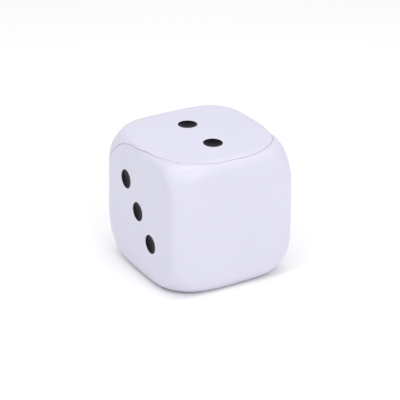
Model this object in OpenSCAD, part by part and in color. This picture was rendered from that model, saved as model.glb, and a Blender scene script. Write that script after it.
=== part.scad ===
// A giant yard die: a foam block under two moulded skins, with dished black pips.
// It stands on its five-pip face, with the origin under its middle and +Z up.

/* [Die] */
// Length of one side of the die
side = 150; // [120:5:200]
// Rounding radius along the twelve edges, as a share of half a side
edge_share = 0.2; // [0.16:0.01:0.24]
// Radius of the ball that rounds off the eight corners, as a share of half a side
ball_share = 1.45; // [1.42:0.01:1.48]

/* [Skin] */
// Thickness of the moulded skin
skin_t = 4; // [4:0.1:5]
// Radius at which the seam rounds the corners of a face, as a share of half a side
seam_corner_share = 0.77; // [0.7:0.01:0.82]

/* [Pips] */
// Radius of one pip
pip_r = 10.4; // [8:0.1:11]
// Distance from the middle of a face to the next row of pips
pip_step = 26.8; // [24:0.1:30]
// Depth of a pip's dished face at its middle
dish_depth = 1.8; // [1.2:0.1:2]
// Thickness of a pip
pip_t = 1.3; // [1:0.1:1.4]
// Width of the flat rim around a pip's dish
rim_w = 0.5; // [0.3:0.1:0.8]
// How far a pip's rim sits below the face around it
pip_sink = 0.3; // [0.2:0.1:0.4]

/* [Hidden] */
$fn = 96;
half = side / 2;
edge_r = edge_share * half;
ball_r = ball_share * half;
// The seam runs along the middle of the rounded edges, this far from the die's middle
seam_half = half - edge_r * (1 - sqrt(1 / 2));
seam_corner_r = seam_corner_share * half;
seam_mid = seam_half - seam_corner_r;
far = 2 * half;
// The corner arcs are this much wider than the edge seam, so that the two cross cleanly
corner_spare = 0.8;
// The dish is a ball's surface through the rim, and the pip's back is a ball around the same centre
dish_edge = pip_r - rim_w;
dish_r = (dish_edge * dish_edge + dish_depth * dish_depth) / (2 * dish_depth);
dish_z = dish_r - dish_depth;
overlap = 1;

// Pips of each numbered face as [across, up] places in steps from the middle of the face
TWO = [[1, 0], [-1, 0]];
THREE = [[-1, 1], [0, 0], [1, -1]];
FOUR = [[1, 1], [1, -1], [-1, 1], [-1, -1]];
FIVE = concat(FOUR, [[0, 0]]);
SIX = [for (across = [-1, 1], up = [1, 0, -1]) [across, up]];
// Each face's word, its pips, and the turn that brings the top face to it
FACES = [
    ["two", TWO, [0, 0, 90]],
    ["three", THREE, [90, 0, -90]],
    ["four", FOUR, [90, 0, 90]],
    ["five", FIVE, [180, 0, 0]],
    ["six", SIX, [90, 0, 180]],
];

// A square bar with rounded edges, along Z and centred
module rounded_bar(h, r) {
    linear_extrude(2 * h, center = true) {
        square([2 * h, 2 * (h - r)], center = true);
        square([2 * (h - r), 2 * h], center = true);
        for (sx = [-1, 1], sy = [-1, 1]) translate([sx * (h - r), sy * (h - r)]) circle(r);
    }
}

// The rounded cube around the origin, made smaller all round by inset
module block(inset) {
    h = half - inset;
    r = edge_r - inset;
    intersection() {
        rounded_bar(h, r);
        rotate([90, 0, 0]) rounded_bar(h, r);
        rotate([0, 90, 0]) rounded_bar(h, r);
        sphere(ball_r - inset);
    }
}

// The seam's line round one corner of a face, from across to up, grown outwards
function corner_arc(grow) = [for (a = [0 : 9 : 90])
    [seam_mid, seam_mid] + (seam_corner_r + grow) * [cos(a), sin(a)]];

// A quarter of the plane with its corner, at the seam, rounded
module rounded_quarter() {
    polygon(concat([[-far, -far], [seam_half, -far]], corner_arc(0), [[-far, seam_half]]));
}

// The two front corners of the top face, outside the rounded line that the seam takes there
module front_corners() {
    outline = concat(corner_arc(corner_spare), [[seam_mid, far], [far, far], [far, seam_mid]]);
    for (side_x = [0, 1]) mirror([side_x, 0, 0]) mirror([0, 1, 0]) linear_extrude(far) polygon(outline);
}

// Everything on the lower skin's side of the seam, around the die's middle
module below_seam() {
    rotate([90, 0, 90]) linear_extrude(2 * far, center = true) rounded_quarter();
    front_corners();
    mirror([0, 1, -1]) front_corners();
}

// Puts children made for the middle of the top face at one place on one face
module on_face(turn, place) {
    translate([0, 0, half]) rotate(turn)
        translate([place[0] * pip_step, place[1] * pip_step, half]) children();
}

// The hollow that one pip sits in, under a face at height zero
module pip_pocket() {
    intersection() {
        translate([0, 0, -dish_depth - pip_sink - pip_t - overlap])
            cylinder(r = pip_r, h = dish_depth + pip_sink + pip_t + 2 * overlap);
        translate([0, 0, dish_z - pip_sink]) sphere(dish_r + pip_t);
    }
}

module pip(turn, place) {
    color("#26272b") on_face(turn, place) difference() {
        pip_pocket();
        translate([0, 0, dish_z - pip_sink]) sphere(dish_r);
        translate([0, 0, -pip_sink]) cylinder(r = pip_r + overlap, h = dish_r);
    }
}

// The whole skin with its pockets, before it is divided
module skin() {
    difference() {
        translate([0, 0, half]) block(0);
        foam_core();
        for (face = FACES, place = face[1]) on_face(face[2], place) pip_pocket();
    }
}

module foam_core() {
    color("#efe9c9") translate([0, 0, half]) block(skin_t);
}

module skin_upper() {
    color("#ececf8") difference() {
        skin();
        translate([0, 0, half]) below_seam();
    }
}

module skin_lower() {
    color("#e2e2f0") intersection() {
        skin();
        translate([0, 0, half]) below_seam();
    }
}

foam_core();
skin_upper();
skin_lower();
for (face = FACES, i = [1 : len(face[1])])
    pip(face[2], face[1][i - 1]);
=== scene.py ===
"""Looks of the giant yard die: moulded foam skins, dished pips, floor, light and camera."""
import math

import bmesh
import bpy
import numpy as np
from mathutils import Matrix, Vector


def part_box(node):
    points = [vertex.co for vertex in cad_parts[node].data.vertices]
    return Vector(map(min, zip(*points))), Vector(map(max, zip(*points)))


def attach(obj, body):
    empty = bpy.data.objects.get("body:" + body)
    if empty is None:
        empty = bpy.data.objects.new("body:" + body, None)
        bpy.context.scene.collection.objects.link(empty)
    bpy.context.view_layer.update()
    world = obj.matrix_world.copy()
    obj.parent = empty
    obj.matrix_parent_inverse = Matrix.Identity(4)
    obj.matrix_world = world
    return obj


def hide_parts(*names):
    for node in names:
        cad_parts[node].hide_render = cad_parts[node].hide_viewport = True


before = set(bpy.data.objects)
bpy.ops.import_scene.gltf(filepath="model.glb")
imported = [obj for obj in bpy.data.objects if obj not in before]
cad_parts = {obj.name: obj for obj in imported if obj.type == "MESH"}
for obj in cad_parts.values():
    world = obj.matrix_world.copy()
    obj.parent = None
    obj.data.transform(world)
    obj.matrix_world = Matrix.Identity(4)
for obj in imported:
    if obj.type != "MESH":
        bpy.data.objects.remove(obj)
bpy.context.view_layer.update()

MM = 0.001

# The CAD gives the die's size, the skin's thickness and the seam's place.
SKIN_LOW, SKIN_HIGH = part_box("skin_lower")
HALF = (SKIN_HIGH.x - SKIN_LOW.x) / 2
CENTRE = Vector((0, 0, SKIN_LOW.z + HALF))
SKIN_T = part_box("foam_core")[0].z - SKIN_LOW.z
SEAM_HALF = -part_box("skin_upper")[0].y
# The directions across, up and out of each face that has pips.
FACE_AXES = {
    "two": ((0, 1, 0), (-1, 0, 0), (0, 0, 1)),
    "three": ((0, -1, 0), (0, 0, 1), (-1, 0, 0)),
    "four": ((0, 1, 0), (0, 0, 1), (1, 0, 0)),
    "five": ((1, 0, 0), (0, -1, 0), (0, 0, -1)),
    "six": ((-1, 0, 0), (0, 0, 1), (0, 1, 0)),
}

# Shape of the die, in half sides: the edges' radius, the corner ball's radius, how far the faces
# swell in their middle, and how sharply the edges and the ball meet (higher is sharper).
EDGE_R = 0.20
BALL_R = 1.455
CROWN = 0.0168
BLEND = 25.0
# Places, in half sides, where the foam swells the skin a little, and by how much.
FULLER = (
    (0.94, -0.10, 0.95, 0.015),
    (0.83, -0.90, -0.79, 0.014),
    (-0.90, 0.86, 0.77, 0.010),
    (-0.20, -0.92, -0.96, 0.012),
)
FULLER_WIDTH = 0.25
# The crown fades out towards the underside: from this downward slope of a ray, as a sine, and
# over this much more of it.
REST_FROM = 0.62
REST_OVER = 0.25

# The seam's course: its corner radius, and how far it drops below the middle of the side edges.
SEAM_CORNER = 0.77 * HALF
SEAM_MID = SEAM_HALF - SEAM_CORNER
SEAM_DROP = 0.02 * HALF
# The seam sits a little nearer the top at the front edge, and a little to the right on the top face.
SEAM_LIFT = 0.023 * HALF
SEAM_SHIFT = 0.016 * HALF
SEAM_SHIFT_RIGHT = 0.034 * HALF
# Length over which the seam's front corners run into its sides.
SEAM_JOIN = 0.28 * HALF
# How far from the seam its distance is worked out.
SEAM_REACH = 7 * MM

# The seam's groove, the shallow valley that it lies in, and the low swell on either side of it.
GROOVE_W = 0.40 * MM
GROOVE_D = 0.65 * MM
VALLEY_W = 2.5 * MM
VALLEY_D = 0.25 * MM
SWELL_OUT = 0.9 * MM
SWELL_W = 0.4 * MM
SWELL_H = 0.10 * MM
# Spots along the seam, in half sides, with their sizes: where a nick deepens it, where a fainter
# second line runs just below it, and where it pinches the skin. The nick and the second line are
# also greyed with painted shade.
NICKS = ((-0.72, -0.66, 0.98),)
NICK_SIZE = 2 * MM
NICK_D = 0.5 * MM
SECOND_LINES = ((-0.74, -0.64, 0.98), (0.86, -0.60, 0.95))
SECOND_SIZE = 11 * MM
SECOND_OUT = -1.5 * MM
SECOND_D = 0.35 * MM
PINCHES = ((0.93, -0.40, 0.93),)
PINCH_SIZE = 18 * MM
PINCH_W = 3 * MM
PINCH_D = 1.1 * MM
# A small grey spot on the skin, in half sides, and its size.
GREY_SPOTS = ((0.904, -0.79, 0.813),)
GREY_SPOT_SIZE = 1.8 * MM

# The lip of the skin round a pip.
LIP_W = 0.5 * MM
LIP_D = 0.30 * MM
# A pip's section: how far its rim sits under the face, its dish, the flat and round of its rim, and
# the gaps round and under it. Its radius and thickness come from the CAD.
PIP_SINK = 0.3 * MM
DISH_D = 1.8 * MM
RIM_W = 0.5 * MM
PIP_ROUND = 0.25 * MM
PIP_GAP = 0.04 * MM
POCKET_GAP = 0.05 * MM
# The gap between the foam block and the skins.
FOAM_GAP = 0.05 * MM

# The mesh: cells across one face of the die, how much they crowd towards its edges, cells across
# one face of the foam block, and how close to the seam and the pips the cells are halved.
GRID = 72
CROWDING = 0.25
FOAM_GRID = 24
FINE_WITHIN = 2.5 * MM
# Edge lines beside the seam and round a pip's rim, at these distances in millimetres.
SEAM_LINES = (-4.5, -3, -2.1, -1.5, -1.0, -0.65, -0.4, -0.2, 0.2, 0.4, 0.65, 1.0, 1.6, 3, 4.5)
LIP_LINES = (0, 0.2, 0.5, 1.0)
# Vertices this close to a new edge line are moved onto it.
SNAP = 0.06 * MM
# Steps round a pip, and along its dish, its rim's round and its back.
PIP_TURNS = 96
DISH_STEPS = 16
ROUND_STEPS = 6
BACK_STEPS = 8

# Colours, as linear red, green and blue.
SKIN_COLOUR = (0.668, 0.660, 0.785)
# Grey of the painted shade in the seam, its nick and second line and on the underside, also used for
# a small grey spot.
PAINTED_SHADE_GREY = (0.42, 0.40, 0.45)
PIP_COLOUR = (0.0022, 0.0022, 0.0040)
PIP_SHINE = (0.85, 0.86, 1)
FOAM_COLOUR = (0.80, 0.74, 0.52)
FLOOR_COLOUR = (0.99, 0.99, 0.99)

# Soft boxes: name, azimuth and elevation in degrees, width in metres and power in watts.
LAMPS = (
    ("over", 0, 90, 0.9, 5.2),
    ("left_high", -75, 56, 0.9, 4.1),
    ("front", 0, 42, 0.9, 3.9),
    ("front_low", 15, 12, 0.5, 1.9),
    ("right", 70, 45, 0.9, 0.8),
)
LAMP_FAR = 1.6
ROOM_LIGHT = 0.73

# The camera's direction from the die and its roll in degrees, its lens in millimetres, and its
# distance and aim in half sides.
CAMERA_AZIMUTH = -30.2
CAMERA_ELEVATION = 25.9
CAMERA_ROLL = 0.84
CAMERA_LENS = 221.8
CAMERA_FAR = 35
AIM_RIGHT = 0.011
AIM_DOWN = 0.043


# ---------------------------------------------------------------- the die's surface

def smooth_step(t):
    """Goes smoothly from 0 to 1 as t does, and stays level before and after."""
    t = np.clip(t, 0, 1)
    return t * t * (3 - 2 * t)


def hump(distance, middle, width):
    """1 where the distance is middle, falling smoothly to 0 on either side."""
    return np.exp(-((distance - middle) / width) ** 2)


def edge_reach(a, b):
    """How far a ray goes in a square with rounded corners, for directions a, b in its plane."""
    big = np.maximum(a, b)
    small = np.minimum(a, b)
    flat = 1 / np.maximum(big, 1e-6)
    mid = 1 - EDGE_R
    qa = np.maximum(big * big + small * small, 1e-12)
    qb = -2 * mid * (big + small)
    qc = 2 * mid * mid - EDGE_R * EDGE_R
    arc = (-qb + np.sqrt(np.maximum(qb * qb - 4 * qa * qc, 0))) / (2 * qa)
    return np.minimum(np.where(small * flat > mid, arc, flat), 4)


def reach(directions):
    """Distance from the die's middle to its surface along unit directions, in metres.

    The die is a cube with rounded edges and crowned faces, cut by a ball at its corners. It is
    flat underneath, where it rests.
    """
    x, y, z = np.abs(directions).T
    walls = [edge_reach(x, y), edge_reach(y, z), edge_reach(x, z), np.full(len(x), BALL_R)]
    blended = 1 - np.log(sum(np.exp(-BLEND * (w - 1)) for w in walls)) / BLEND
    blended /= 1 - math.log(2) / BLEND
    bulge = (directions ** 4).sum(1)
    rests = smooth_step((-directions[:, 2] - REST_FROM) / REST_OVER)
    blended *= 1 - 2 * CROWN * (1 - rests) * (1 - bulge)
    for x, y, z, amount in FULLER:
        gap = directions - np.array((x, y, z)) / math.hypot(x, y, z)
        blended += amount * np.exp(-(gap ** 2).sum(1) / FULLER_WIDTH ** 2)
    # The ground is one half side below the middle, and no ray reaches under it.
    ground = 1 / np.maximum(-directions[:, 2], 0.1)
    return HALF * np.minimum(blended, ground)


def unit(vectors):
    """The vectors, each at length 1."""
    return vectors / np.maximum(np.linalg.norm(vectors, axis=1), 1e-12)[:, None]


def on_surface(points):
    """Points about the die's middle, moved along their ray onto its surface."""
    directions = unit(points)
    return directions * reach(directions)[:, None]


def gradient(field, points, step=2e-5):
    """Slope of a field of points, by central differences."""
    slopes = []
    for axis in np.eye(3):
        slopes.append((field(points + step * axis) - field(points - step * axis)) / (2 * step))
    return np.array(slopes).T


def outward(points):
    """The surface's normals at points about the die's middle."""
    return unit(gradient(lambda p: np.linalg.norm(p, axis=1) - reach(unit(p)), points))


def along_surface(field, points):
    """A field's slope within the surface."""
    slope = gradient(field, points)
    normals = outward(points)
    return slope - (slope * normals).sum(1)[:, None] * normals


# ---------------------------------------------------------------- seam and pips as fields

def rounded_corner(a, b):
    """Signed distance to a quarter plane whose corner, at the seam, is rounded."""
    pa, pb = a - SEAM_MID, b - SEAM_MID
    outside = np.hypot(np.maximum(pa, 0), np.maximum(pb, 0))
    inside = np.minimum(np.maximum(pa, pb), 0)
    return outside + inside - SEAM_CORNER


def seam_side(points):
    """Positive on the upper skin, negative on the lower skin, zero on the seam.

    The seam follows the middle of the rounded edges, with rounded corners on the top and rear
    faces. It sags a little towards the rear and shifts to the right on the top face.
    """
    x, y, z = points.T
    rear = smooth_step(0.5 + 0.5 * y / SEAM_MID)
    low = smooth_step(0.5 - 0.5 * z / SEAM_MID)
    shift = np.where(x > 0, SEAM_SHIFT_RIGHT, SEAM_SHIFT)
    drop_y = SEAM_DROP * rear + shift * (1 - rear) * x / SEAM_HALF
    drop_z = SEAM_DROP * (1 - low)
    side = rounded_corner(y + drop_z, z + drop_y)
    top_corner = -rounded_corner(np.abs(x - shift), SEAM_LIFT - y)
    rear_corner = -rounded_corner(np.abs(x), -z)
    corner_share = smooth_step(0.5 - (y + SEAM_MID) / SEAM_JOIN)
    side = side + corner_share * (np.minimum(side, top_corner) - side)
    return np.where(z < -SEAM_MID, np.minimum(side, rear_corner), side)


def seam_distance(points, out=SEAM_REACH):
    """Distance to the seam's line, as far as out, with the sign of seam_side."""
    side = seam_side(points)
    distance = np.sign(side) * out
    # seam_side is only roughly a distance, so points a little further out are measured too.
    near = np.flatnonzero(np.abs(side) < 1.5 * out)
    starts, ends = SEAM_CHAIN
    spans = ends - starts
    lengths = (spans ** 2).sum(1)
    for part in np.array_split(near, 1 + len(near) // 500):
        gaps = points[part][:, None] - starts
        along = np.clip(np.einsum("ijk,jk->ij", gaps, spans) / lengths, 0, 1)
        gaps -= along[..., None] * spans
        closest = np.sqrt(np.einsum("ijk,ijk->ij", gaps, gaps).min(1))
        distance[part] = np.sign(side[part]) * np.minimum(closest, out)
    return distance


def pip_places():
    """Each CAD pip's name with its place about the die's middle and its face's axes."""
    places = []
    for name in sorted(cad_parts):
        if not name.startswith("pip_"):
            continue
        across, up, out = (Vector(a) for a in FACE_AXES[name.split("_")[1]])
        low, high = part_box(name)
        middle = (low + high) / 2 - CENTRE
        middle -= middle.dot(out) * out
        places.append((name, middle, across, up, out))
    return places


PIPS = pip_places()
PIP_LOW, PIP_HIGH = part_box("pip_two_1")
PIP_R = (PIP_HIGH.x - PIP_LOW.x) / 2
PIP_T = PIP_HIGH.z - PIP_LOW.z - DISH_D
DISH_R = PIP_R - RIM_W
# The seam's line as the starts and ends of short straight pieces. skin_mesh fills it.
SEAM_CHAIN = []


def pip_distance(points):
    """Distance outside the nearest pip's rim, measured in the plane of its face."""
    nearest = np.full(len(points), HALF)
    for _, middle, across, up, out in PIPS:
        offset = points - np.array(middle)
        radius = np.hypot(offset @ np.array(across), offset @ np.array(up)) - PIP_R
        nearest = np.where(points @ np.array(out) > HALF / 2, np.minimum(nearest, radius), nearest)
    return nearest


# ---------------------------------------------------------------- mesh tools

def coordinates(bm):
    """The places of all vertices."""
    return np.array([v.co[:] for v in bm.verts])


def place(bm, points):
    """Moves all vertices to new places."""
    for v, p in zip(bm.verts, points):
        v.co = p


def face_middles(faces):
    """The middles of some faces."""
    return np.array([f.calc_center_median()[:] for f in faces])


def grid_block(count):
    """A closed cube of square cells, crowded towards its edges and laid on the die's surface."""
    bm = bmesh.new()
    ticks = np.linspace(-1, 1, count + 1)
    ticks = ticks * (1 + CROWDING - CROWDING * ticks ** 2)
    known = {}

    def vertex(p):
        key = tuple(round(c, 6) for c in p)
        if key not in known:
            known[key] = bm.verts.new(p)
        return known[key]

    for axis in range(3):
        for sign in (-1, 1):
            for i in range(count):
                for j in range(count):
                    corners = []
                    for di, dj in ((0, 0), (1, 0), (1, 1), (0, 1)):
                        p = [0, 0, 0]
                        p[axis] = sign
                        p[(axis + 1) % 3] = ticks[i + di]
                        p[(axis + 2) % 3] = ticks[j + dj]
                        corners.append(vertex(p))
                    bm.faces.new(corners if sign > 0 else corners[::-1])
    place(bm, on_surface(coordinates(bm)))
    return bm


def onto_level(points, field, level):
    """Points moved along the die's surface until the field there is at the level.

    The slope is kept from being so small that a point is thrown far away.
    """
    for _ in range(3):
        slope = along_surface(field, points)
        size = np.maximum((slope ** 2).sum(1), 0.05)
        points = on_surface(points - ((field(points) - level) / size)[:, None] * slope)
    return points


def cut_along(bm, field, level):
    """Adds an edge line where the field crosses the level, and returns the line's vertices.

    Vertices already near the level are moved onto it, and crossing edges are split. Then each face
    with several such vertices is split between the nearest ones.
    """
    bm.verts.index_update()
    values = field(coordinates(bm)) - level
    values[np.abs(values) < SNAP] = 0
    marked = [v for v in bm.verts if values[v.index] == 0]
    for edge in [e for e in bm.edges if values[e.verts[0].index] * values[e.verts[1].index] < 0]:
        a, b = edge.verts
        va, vb = values[a.index], values[b.index]
        marked.append(bmesh.utils.edge_split(edge, a, va / (va - vb))[1])
    if not marked:
        return set()
    line = set(marked)
    for v, p in zip(marked, onto_level(np.array([v.co[:] for v in marked]), field, level)):
        v.co = p
    for face in dict.fromkeys(f for v in marked for f in v.link_faces):
        on_line = [v for v in face.verts if v in line]
        pairs = [(a, b) for i, a in enumerate(on_line) for b in on_line[:i]]
        pairs.sort(key=lambda pair: (pair[0].co - pair[1].co).length)
        for a, b in pairs[:max(0, len(on_line) - 1)]:
            shared = [f for f in a.link_faces if b in f.verts]
            if shared and not bm.edges.get((a, b)):
                bmesh.utils.face_split(shared[0], a, b)
    return line


def refine(bm, field, within):
    """Halves the cells within a distance of the field's zero line."""
    faces = list(bm.faces)
    close = np.abs(field(face_middles(faces))) < within
    edges = list(dict.fromkeys(e for f, near in zip(faces, close) if near for e in f.edges))
    bmesh.ops.subdivide_edges(bm, edges=edges, cuts=1, use_grid_fill=True)
    place(bm, on_surface(coordinates(bm)))


def to_object(name, bm, material):
    """Turns a mesh under construction into a smooth piece with its material."""
    mesh = bpy.data.meshes.new(name)
    bm.to_mesh(mesh)
    bm.free()
    piece = bpy.data.objects.new(name, mesh)
    bpy.context.scene.collection.objects.link(piece)
    mesh.materials.append(material)
    mesh.shade_smooth()
    mesh.set_sharp_from_angle(angle=math.radians(50))
    return piece


# ---------------------------------------------------------------- materials

class Look:
    """A material under construction, whose nodes are made and joined by short calls."""

    def __init__(self, name, colour, roughness, specular):
        self.material = bpy.data.materials.new(name)
        self.material.use_nodes = True
        self.nodes = self.material.node_tree.nodes
        self.links = self.material.node_tree.links
        self.shader = self.nodes["Principled BSDF"]
        self.shader.inputs["Base Color"].default_value = (*colour, 1)
        self.shader.inputs["Roughness"].default_value = roughness
        self.shader.inputs["Specular IOR Level"].default_value = specular
        self.place = self.nodes.new("ShaderNodeTexCoord").outputs["Object"]

    def node(self, kind, joined=(), **values):
        """A new node, with its sockets set, or joined to other nodes' outputs."""
        made = self.nodes.new(kind)
        for name, value in values.items():
            setattr(made, name, value)
        for socket, source in dict(joined).items():
            if isinstance(source, bpy.types.NodeSocket):
                self.links.new(source, made.inputs[socket])
            else:
                made.inputs[socket].default_value = source
        return made

    def noise(self, size, detail=2, rough=0.5, warp=0):
        """Noise whose features are about as long as size, in metres."""
        joined = {"Vector": self.place, "Scale": 1 / size, "Detail": detail, "Roughness": rough}
        joined["Distortion"] = warp
        return self.node("ShaderNodeTexNoise", joined).outputs["Fac"]

    def cells(self, size):
        """Distance from the middle of cells that are about as wide as size, in metres."""
        joined = {"Vector": self.place, "Scale": 1 / size}
        return self.node("ShaderNodeTexVoronoi", joined).outputs["Distance"]

    def between(self, source, low, high, out_low, out_high):
        """Goes from out_low to out_high as the source goes from low to high."""
        joined = {0: source, 1: low, 2: high, 3: out_low, 4: out_high}
        return self.node("ShaderNodeMapRange", joined).outputs[0]

    def tint(self, amount, first, second):
        """A colour that goes from first to second as the amount goes from 0 to 1."""
        return self.mixed({"Factor": amount, "A": (*first, 1), "B": (*second, 1)})

    def over(self, amount, colour, second):
        """A joined colour that goes to a second one as the amount goes from 0 to 1."""
        return self.mixed({"Factor": amount, "A": colour, "B": (*second, 1)})

    def mixed(self, joined):
        """The output of a node that mixes two colours."""
        mix = self.nodes.new("ShaderNodeMix")
        mix.data_type = "RGBA"
        sockets = {"Factor": mix.inputs[0], "A": mix.inputs[6], "B": mix.inputs[7]}
        for name, source in joined.items():
            if isinstance(source, bpy.types.NodeSocket):
                self.links.new(source, sockets[name])
            else:
                sockets[name].default_value = source
        return mix.outputs[2]

    def bump(self, height, depth, strength, below=None):
        """A bumped normal, on top of another one if below is given."""
        joined = {"Height": height, "Distance": depth, "Strength": strength}
        if below:
            joined["Normal"] = below
        return self.node("ShaderNodeBump", joined).outputs["Normal"]

    def set(self, socket, source):
        """Joins an output to one of the shader's sockets."""
        self.links.new(source, self.shader.inputs[socket])


def skin_material():
    """Smooth satin foam skin: lavender white, faintly clouded, with painted shade greying the seam,
    its nick and second line, and the underside, and a small grey spot.
    """
    look = Look("moulded_skin", SKIN_COLOUR, 0.36, 0.55)
    clouds = look.between(look.noise(55 * MM, 3, 0.55, 0.6), 0.35, 0.65, 0, 1)
    colour = look.tint(clouds, SKIN_COLOUR, [0.975 * c for c in SKIN_COLOUR])
    grain = look.between(look.noise(1.1 * MM, 4, 0.6), 0.42, 0.62, 0, 0.5)
    colour = look.over(grain, colour, [0.99 * c for c in SKIN_COLOUR])
    # Painted shade in the seam, at its nick and second line and on the underside, and the grey spot,
    # mixed in as grey.
    painted_shade_and_spot = look.node("ShaderNodeAttribute", attribute_name="painted_shade_and_spot").outputs["Fac"]
    colour = look.over(painted_shade_and_spot, colour, PAINTED_SHADE_GREY)
    look.set("Base Color", colour)
    look.set("Roughness", look.between(look.noise(9 * MM, 4, 0.6), 0.3, 0.7, 0.31, 0.41))
    swells = look.bump(look.noise(34 * MM, 1, 0.4), 1.2 * MM, 0.10)
    look.set("Normal", look.bump(look.noise(0.8 * MM, 3, 0.5), 0.05 * MM, 0.35, swells))
    return look.material


def pip_material():
    """Satin black rubber with a fine grain and the odd scuff."""
    look = Look("pip_black", PIP_COLOUR, 0.32, 0.07)
    look.shader.inputs["Specular Tint"].default_value = (*PIP_SHINE, 1)
    scuffs = look.between(look.noise(3.5 * MM, 5, 0.65, 1.2), 0.56, 0.70, 0, 1)
    look.set("Base Color", look.tint(scuffs, PIP_COLOUR, [1.8 * c for c in PIP_COLOUR]))
    look.set("Roughness", look.between(look.noise(2 * MM, 4, 0.6), 0.3, 0.7, 0.27, 0.38))
    look.set("Normal", look.bump(look.noise(0.35 * MM, 3, 0.5), 0.03 * MM, 0.4))
    return look.material


def foam_material():
    """Cut foam: pale cream with open cells of two sizes, the cells' pits darkened with painted
    shade.
    """
    look = Look("foam_cells", FOAM_COLOUR, 0.95, 0.1)
    cells = look.cells(1.6 * MM)
    small = look.cells(0.7 * MM)
    # Painted shade in the cells' pits.
    painted_pit_shade = look.between(cells, 0.1, 0.55, 1, 0)
    colour = look.tint(painted_pit_shade, FOAM_COLOUR, [0.72 * c for c in FOAM_COLOUR])
    patches = look.between(look.noise(25 * MM, 3, 0.5), 0.35, 0.65, 0, 0.4)
    look.set("Base Color", look.over(patches, colour, [0.9 * c for c in FOAM_COLOUR]))
    deep = look.bump(cells, 0.6 * MM, 0.8)
    look.set("Normal", look.bump(small, 0.25 * MM, 0.6, deep))
    return look.material


# ---------------------------------------------------------------- skins

def wander(points, length, seed):
    """A slow, smooth, repeatable unevenness between about -1 and 1."""
    total = 0
    for k in range(3):
        turn = np.array([math.sin(seed + 2 * k), math.cos(1.3 * seed + k), math.sin(0.7 * seed - k)])
        turn /= np.linalg.norm(turn)
        total = total + np.sin(points @ turn * math.tau / length * (1 + 0.37 * k) + seed * k)
    return total / 2.2


def near_spots(points, spots, size):
    """1 at the spots, which are in half sides, falling smoothly to 0 away from them."""
    total = np.zeros(len(points))
    for spot in spots:
        gap = np.linalg.norm(points - HALF * np.array(spot), axis=1)
        total = np.maximum(total, np.exp(-(gap / size) ** 2))
    return total


def sink(points):
    """How far the outer surface lies under the plain die, at the seam groove and the pips' lips."""
    seam = seam_distance(points)
    width = GROOVE_W * (1 + 0.10 * wander(points, 31 * MM, 5))
    depth = GROOVE_D * (1 + 0.15 * wander(points, 47 * MM, 2)) * hump(seam, 0, width)
    depth += NICK_D * near_spots(points, NICKS, NICK_SIZE) * hump(seam, 0, 0.7 * MM)
    second = near_spots(points, SECOND_LINES, SECOND_SIZE)
    depth += SECOND_D * second * hump(seam, SECOND_OUT, 0.35 * MM)
    depth += VALLEY_D * hump(seam, 0, VALLEY_W)
    depth += PINCH_D * near_spots(points, PINCHES, PINCH_SIZE) * hump(seam, 0, PINCH_W)
    swell = SWELL_H * hump(np.abs(seam), SWELL_OUT, SWELL_W)
    lip = np.maximum(pip_distance(points), 0)
    return depth - swell + LIP_D * np.clip(1 - lip / LIP_W, 0, 1) ** 2


def painted_shade_and_spot_amount(points):
    """How much painted shade greys the skin, from 0 to 1: in the seam, at the nick and second line,
    and underneath; also a small grey spot.
    """
    seam = seam_distance(points)
    # Painted shade down in the seam's groove.
    painted_shade_and_spot = 0.5 * hump(seam, 0, 0.45 * MM)
    # Darker painted shade at the nick and along the fainter second line.
    painted_shade_and_spot += 0.6 * near_spots(points, NICKS, NICK_SIZE) * hump(seam, 0, 0.8 * MM)
    second = near_spots(points, SECOND_LINES, SECOND_SIZE)
    painted_shade_and_spot += 0.35 * second * hump(seam, SECOND_OUT, 0.4 * MM)
    # A small grey spot.
    painted_shade_and_spot += 0.2 * near_spots(points, GREY_SPOTS, GREY_SPOT_SIZE)
    # Painted shade, darker towards the underside.
    return painted_shade_and_spot + 0.36 * smooth_step((-points[:, 2] / HALF - 0.85) / 0.12)


def skin_mesh():
    """The die's outer surface with edge lines along the seam and round every pip."""
    bm = grid_block(GRID)
    # A layer for the painted shade and the grey spot, filled in one_skin.
    bm.verts.layers.float.new("painted_shade_and_spot")
    refine(bm, seam_side, FINE_WITHIN)
    refine(bm, pip_distance, FINE_WITHIN)
    line = cut_along(bm, seam_side, 0)
    chain = [e for e in bm.edges if e.verts[0] in line and e.verts[1] in line]
    for end in (0, 1):
        SEAM_CHAIN.append(np.array([e.verts[end].co[:] for e in chain]))
    for level in SEAM_LINES:
        out = (1.2 * abs(level) + 1) * MM
        cut_along(bm, lambda points: seam_distance(points, out), level * MM)
    for level in LIP_LINES:
        cut_along(bm, pip_distance, level * MM)
    return bm


def sink_pockets(bm, faces):
    """Pushes the patches under the pips down to a dished floor, with a wall round each."""
    made = bmesh.ops.extrude_face_region(bm, geom=faces)["geom"]
    bmesh.ops.delete(bm, geom=[f for f in faces if f.is_valid], context="FACES")
    down = [v for v in made if isinstance(v, bmesh.types.BMVert)]
    points = np.array([v.co[:] for v in down])
    radius = pip_distance(points) + PIP_R
    depth = PIP_SINK + PIP_T + DISH_D * (1 - np.clip(radius / DISH_R, 0, 1) ** 2)
    for v, p, n, d in zip(down, points, outward(points), depth):
        v.co = p - (d + POCKET_GAP) * n


def one_side(whole, sign):
    """A copy of the die's surface that keeps one side of the seam."""
    bm = whole.copy()
    faces = list(bm.faces)
    other = np.sign(seam_side(face_middles(faces))) != sign
    bmesh.ops.delete(bm, geom=[f for f, gone in zip(faces, other) if gone], context="FACES")
    return bm


def open_rim(bm):
    """The open edges as pairs of vertices, in the order in which their face takes them."""
    rim = []
    for edge in [e for e in bm.edges if e.is_boundary]:
        order = list(edge.link_faces[0].verts)
        a, b = edge.verts
        follows = order[(order.index(a) + 1) % len(order)] == b
        rim.append((a, b) if follows else (b, a))
    return rim


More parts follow.
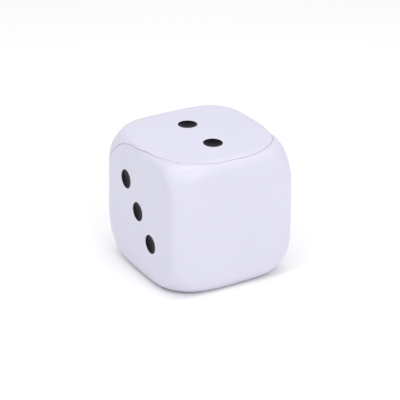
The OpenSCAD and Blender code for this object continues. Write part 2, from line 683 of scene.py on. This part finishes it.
def one_skin(whole, sign, name, material):
    """One side of the seam, with its groove, lips and pockets, as a closed shell."""
    bm = one_side(whole, sign)
    faces = list(bm.faces)
    pockets = [f for f, d in zip(faces, pip_distance(face_middles(faces))) if d < 0]
    outer = list(bm.verts)
    points = coordinates(bm)
    normals = outward(points)
    corners = [list(f.verts) for f in faces]
    rim = open_rim(bm)
    twin = {v: bm.verts.new(p) for v, p in zip(outer, points - SKIN_T * normals)}
    for loop in corners:
        bm.faces.new([twin[v] for v in reversed(loop)])
    for a, b in rim:
        bm.faces.new((b, a, twin[a], twin[b]))
    # Each outer vertex gets its share of painted shade and grey spot.
    painted_shade_layer = bm.verts.layers.float["painted_shade_and_spot"]
    painted_shade_and_spot = painted_shade_and_spot_amount(points)
    for v, p, amount in zip(outer, points - sink(points)[:, None] * normals, painted_shade_and_spot):
        v.co = p
        v[painted_shade_layer] = amount
    sink_pockets(bm, pockets)
    bmesh.ops.translate(bm, verts=bm.verts, vec=CENTRE)
    return to_object(name, bm, material)


def foam_piece():
    """The foam block that fills the skins."""
    bm = grid_block(FOAM_GRID)
    points = coordinates(bm)
    place(bm, points - (SKIN_T + FOAM_GAP) * outward(points))
    bmesh.ops.translate(bm, verts=bm.verts, vec=CENTRE)
    piece = to_object("foam_core_block", bm, foam_material())
    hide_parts("foam_core")
    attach(piece, "root")


# ---------------------------------------------------------------- pips

def pip_outline():
    """Half the section of a pip, as (radius, height over the face), from the dish's middle round."""
    outline = [(0, -PIP_SINK - DISH_D)]
    for k in range(1, DISH_STEPS + 1):
        share = k / DISH_STEPS
        outline.append((DISH_R * share, -PIP_SINK - DISH_D * (1 - share ** 2)))
    flat = PIP_R - DISH_R - PIP_ROUND - PIP_GAP
    for k in range(ROUND_STEPS + 1):
        turn = math.pi / 2 * k / ROUND_STEPS
        outline.append((
            DISH_R + flat + PIP_ROUND * math.sin(turn),
            -PIP_SINK - PIP_ROUND * (1 - math.cos(turn)),
        ))
    for k in range(BACK_STEPS, -1, -1):
        share = k / BACK_STEPS
        radius = DISH_R * share if k < BACK_STEPS else PIP_R - PIP_GAP
        outline.append((radius, -PIP_SINK - PIP_T - DISH_D * (1 - share ** 2)))
    return outline


def pip_piece(name, middle, across, up, out, material):
    """One dished black disc, turned from its outline about the face's normal where it sits."""
    height = HALF
    for _ in range(4):
        spot = on_surface(np.array([(middle + height * out)[:]]))
        height = float((spot @ np.array(out))[0])
    spot = middle + height * out
    normal = Vector(outward(np.array([spot[:]]))[0])
    side = (across - across.dot(normal) * normal).normalized()
    ahead = normal.cross(side)
    bm = bmesh.new()
    rings = []
    for radius, level in pip_outline():
        count = PIP_TURNS if radius else 1
        ring = []
        for t in range(count):
            angle = math.tau * t / count
            flat = radius * (math.cos(angle) * side + math.sin(angle) * ahead)
            ring.append(bm.verts.new(CENTRE + spot + flat + level * normal))
        rings.append(ring)
    for first, second in zip(rings, rings[1:]):
        for t in range(PIP_TURNS):
            s = (t + 1) % PIP_TURNS
            if len(first) == 1:
                bm.faces.new((first[0], second[t], second[s]))
            elif len(second) == 1:
                bm.faces.new((first[t], second[0], first[s]))
            else:
                bm.faces.new((first[t], second[t], second[s], first[s]))
    piece = to_object(name + "_disc", bm, material)
    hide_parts(name)
    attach(piece, "root")


# ---------------------------------------------------------------- stage, light, camera

def make_floor():
    """A wide plain white floor."""
    bpy.ops.mesh.primitive_plane_add(size=40)
    floor = bpy.context.object
    floor.name = "floor"
    floor.data.materials.append(Look("floor_white", FLOOR_COLOUR, 0.9, 0.2).material)


def direction(azimuth, elevation):
    """Unit vector from the die towards a place; azimuth 0 is in front of the blank face."""
    a, e = math.radians(azimuth), math.radians(elevation)
    return Vector((math.sin(a) * math.cos(e), -math.cos(a) * math.cos(e), math.sin(e)))


def soft_box(name, azimuth, elevation, size, power):
    """A round soft light aimed at the die from LAMP_FAR away."""
    light = bpy.data.lights.new(name, "AREA")
    light.shape = "DISK"
    light.size = size
    light.energy = power
    lamp = bpy.data.objects.new(name, light)
    bpy.context.scene.collection.objects.link(lamp)
    toward = direction(azimuth, elevation)
    lamp.location = CENTRE + LAMP_FAR * toward
    lamp.rotation_mode = "QUATERNION"
    lamp.rotation_quaternion = toward.to_track_quat("Z", "Y")


def make_light():
    """White surroundings, with soft boxes overhead and on the three front sides."""
    bpy.context.scene.view_settings.view_transform = "Standard"
    world = bpy.data.worlds.new("studio")
    bpy.context.scene.world = world
    world.use_nodes = True
    background = world.node_tree.nodes["Background"]
    background.inputs["Color"].default_value = (1, 1, 1, 1)
    background.inputs["Strength"].default_value = ROOM_LIGHT
    for lamp in LAMPS:
        soft_box(*lamp)


def make_camera():
    """A long lens in front of the blank face, a little to its left and well above it."""
    camera = bpy.data.objects.new("camera", bpy.data.cameras.new("camera"))
    bpy.context.scene.collection.objects.link(camera)
    azimuth = math.radians(CAMERA_AZIMUTH)
    roll = math.radians(CAMERA_ROLL)
    back = direction(CAMERA_AZIMUTH, CAMERA_ELEVATION)
    level = Vector((math.cos(azimuth), math.sin(azimuth), 0))
    upright = back.cross(level)
    right = math.cos(roll) * level + math.sin(roll) * upright
    up = back.cross(right)
    camera.data.sensor_width = 36
    camera.data.lens = CAMERA_LENS
    camera.data.clip_end = 100
    distance = CAMERA_FAR * HALF
    aim = CENTRE + AIM_RIGHT * HALF * right - AIM_DOWN * HALF * up
    turned = Matrix((right, up, back)).transposed().to_4x4()
    camera.matrix_world = Matrix.Translation(aim + distance * back) @ turned
    bpy.context.scene.camera = camera


skin = skin_material()
whole = skin_mesh()
for sign, name in ((1, "skin_upper"), (-1, "skin_lower")):
    piece = one_skin(whole, sign, name + "_shell", skin)
    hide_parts(name)
    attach(piece, "root")
whole.free()

black = pip_material()
for name, middle, across, up, out in PIPS:
    pip_piece(name, middle, across, up, out, black)

foam_piece()

make_floor()
make_light()
make_camera()
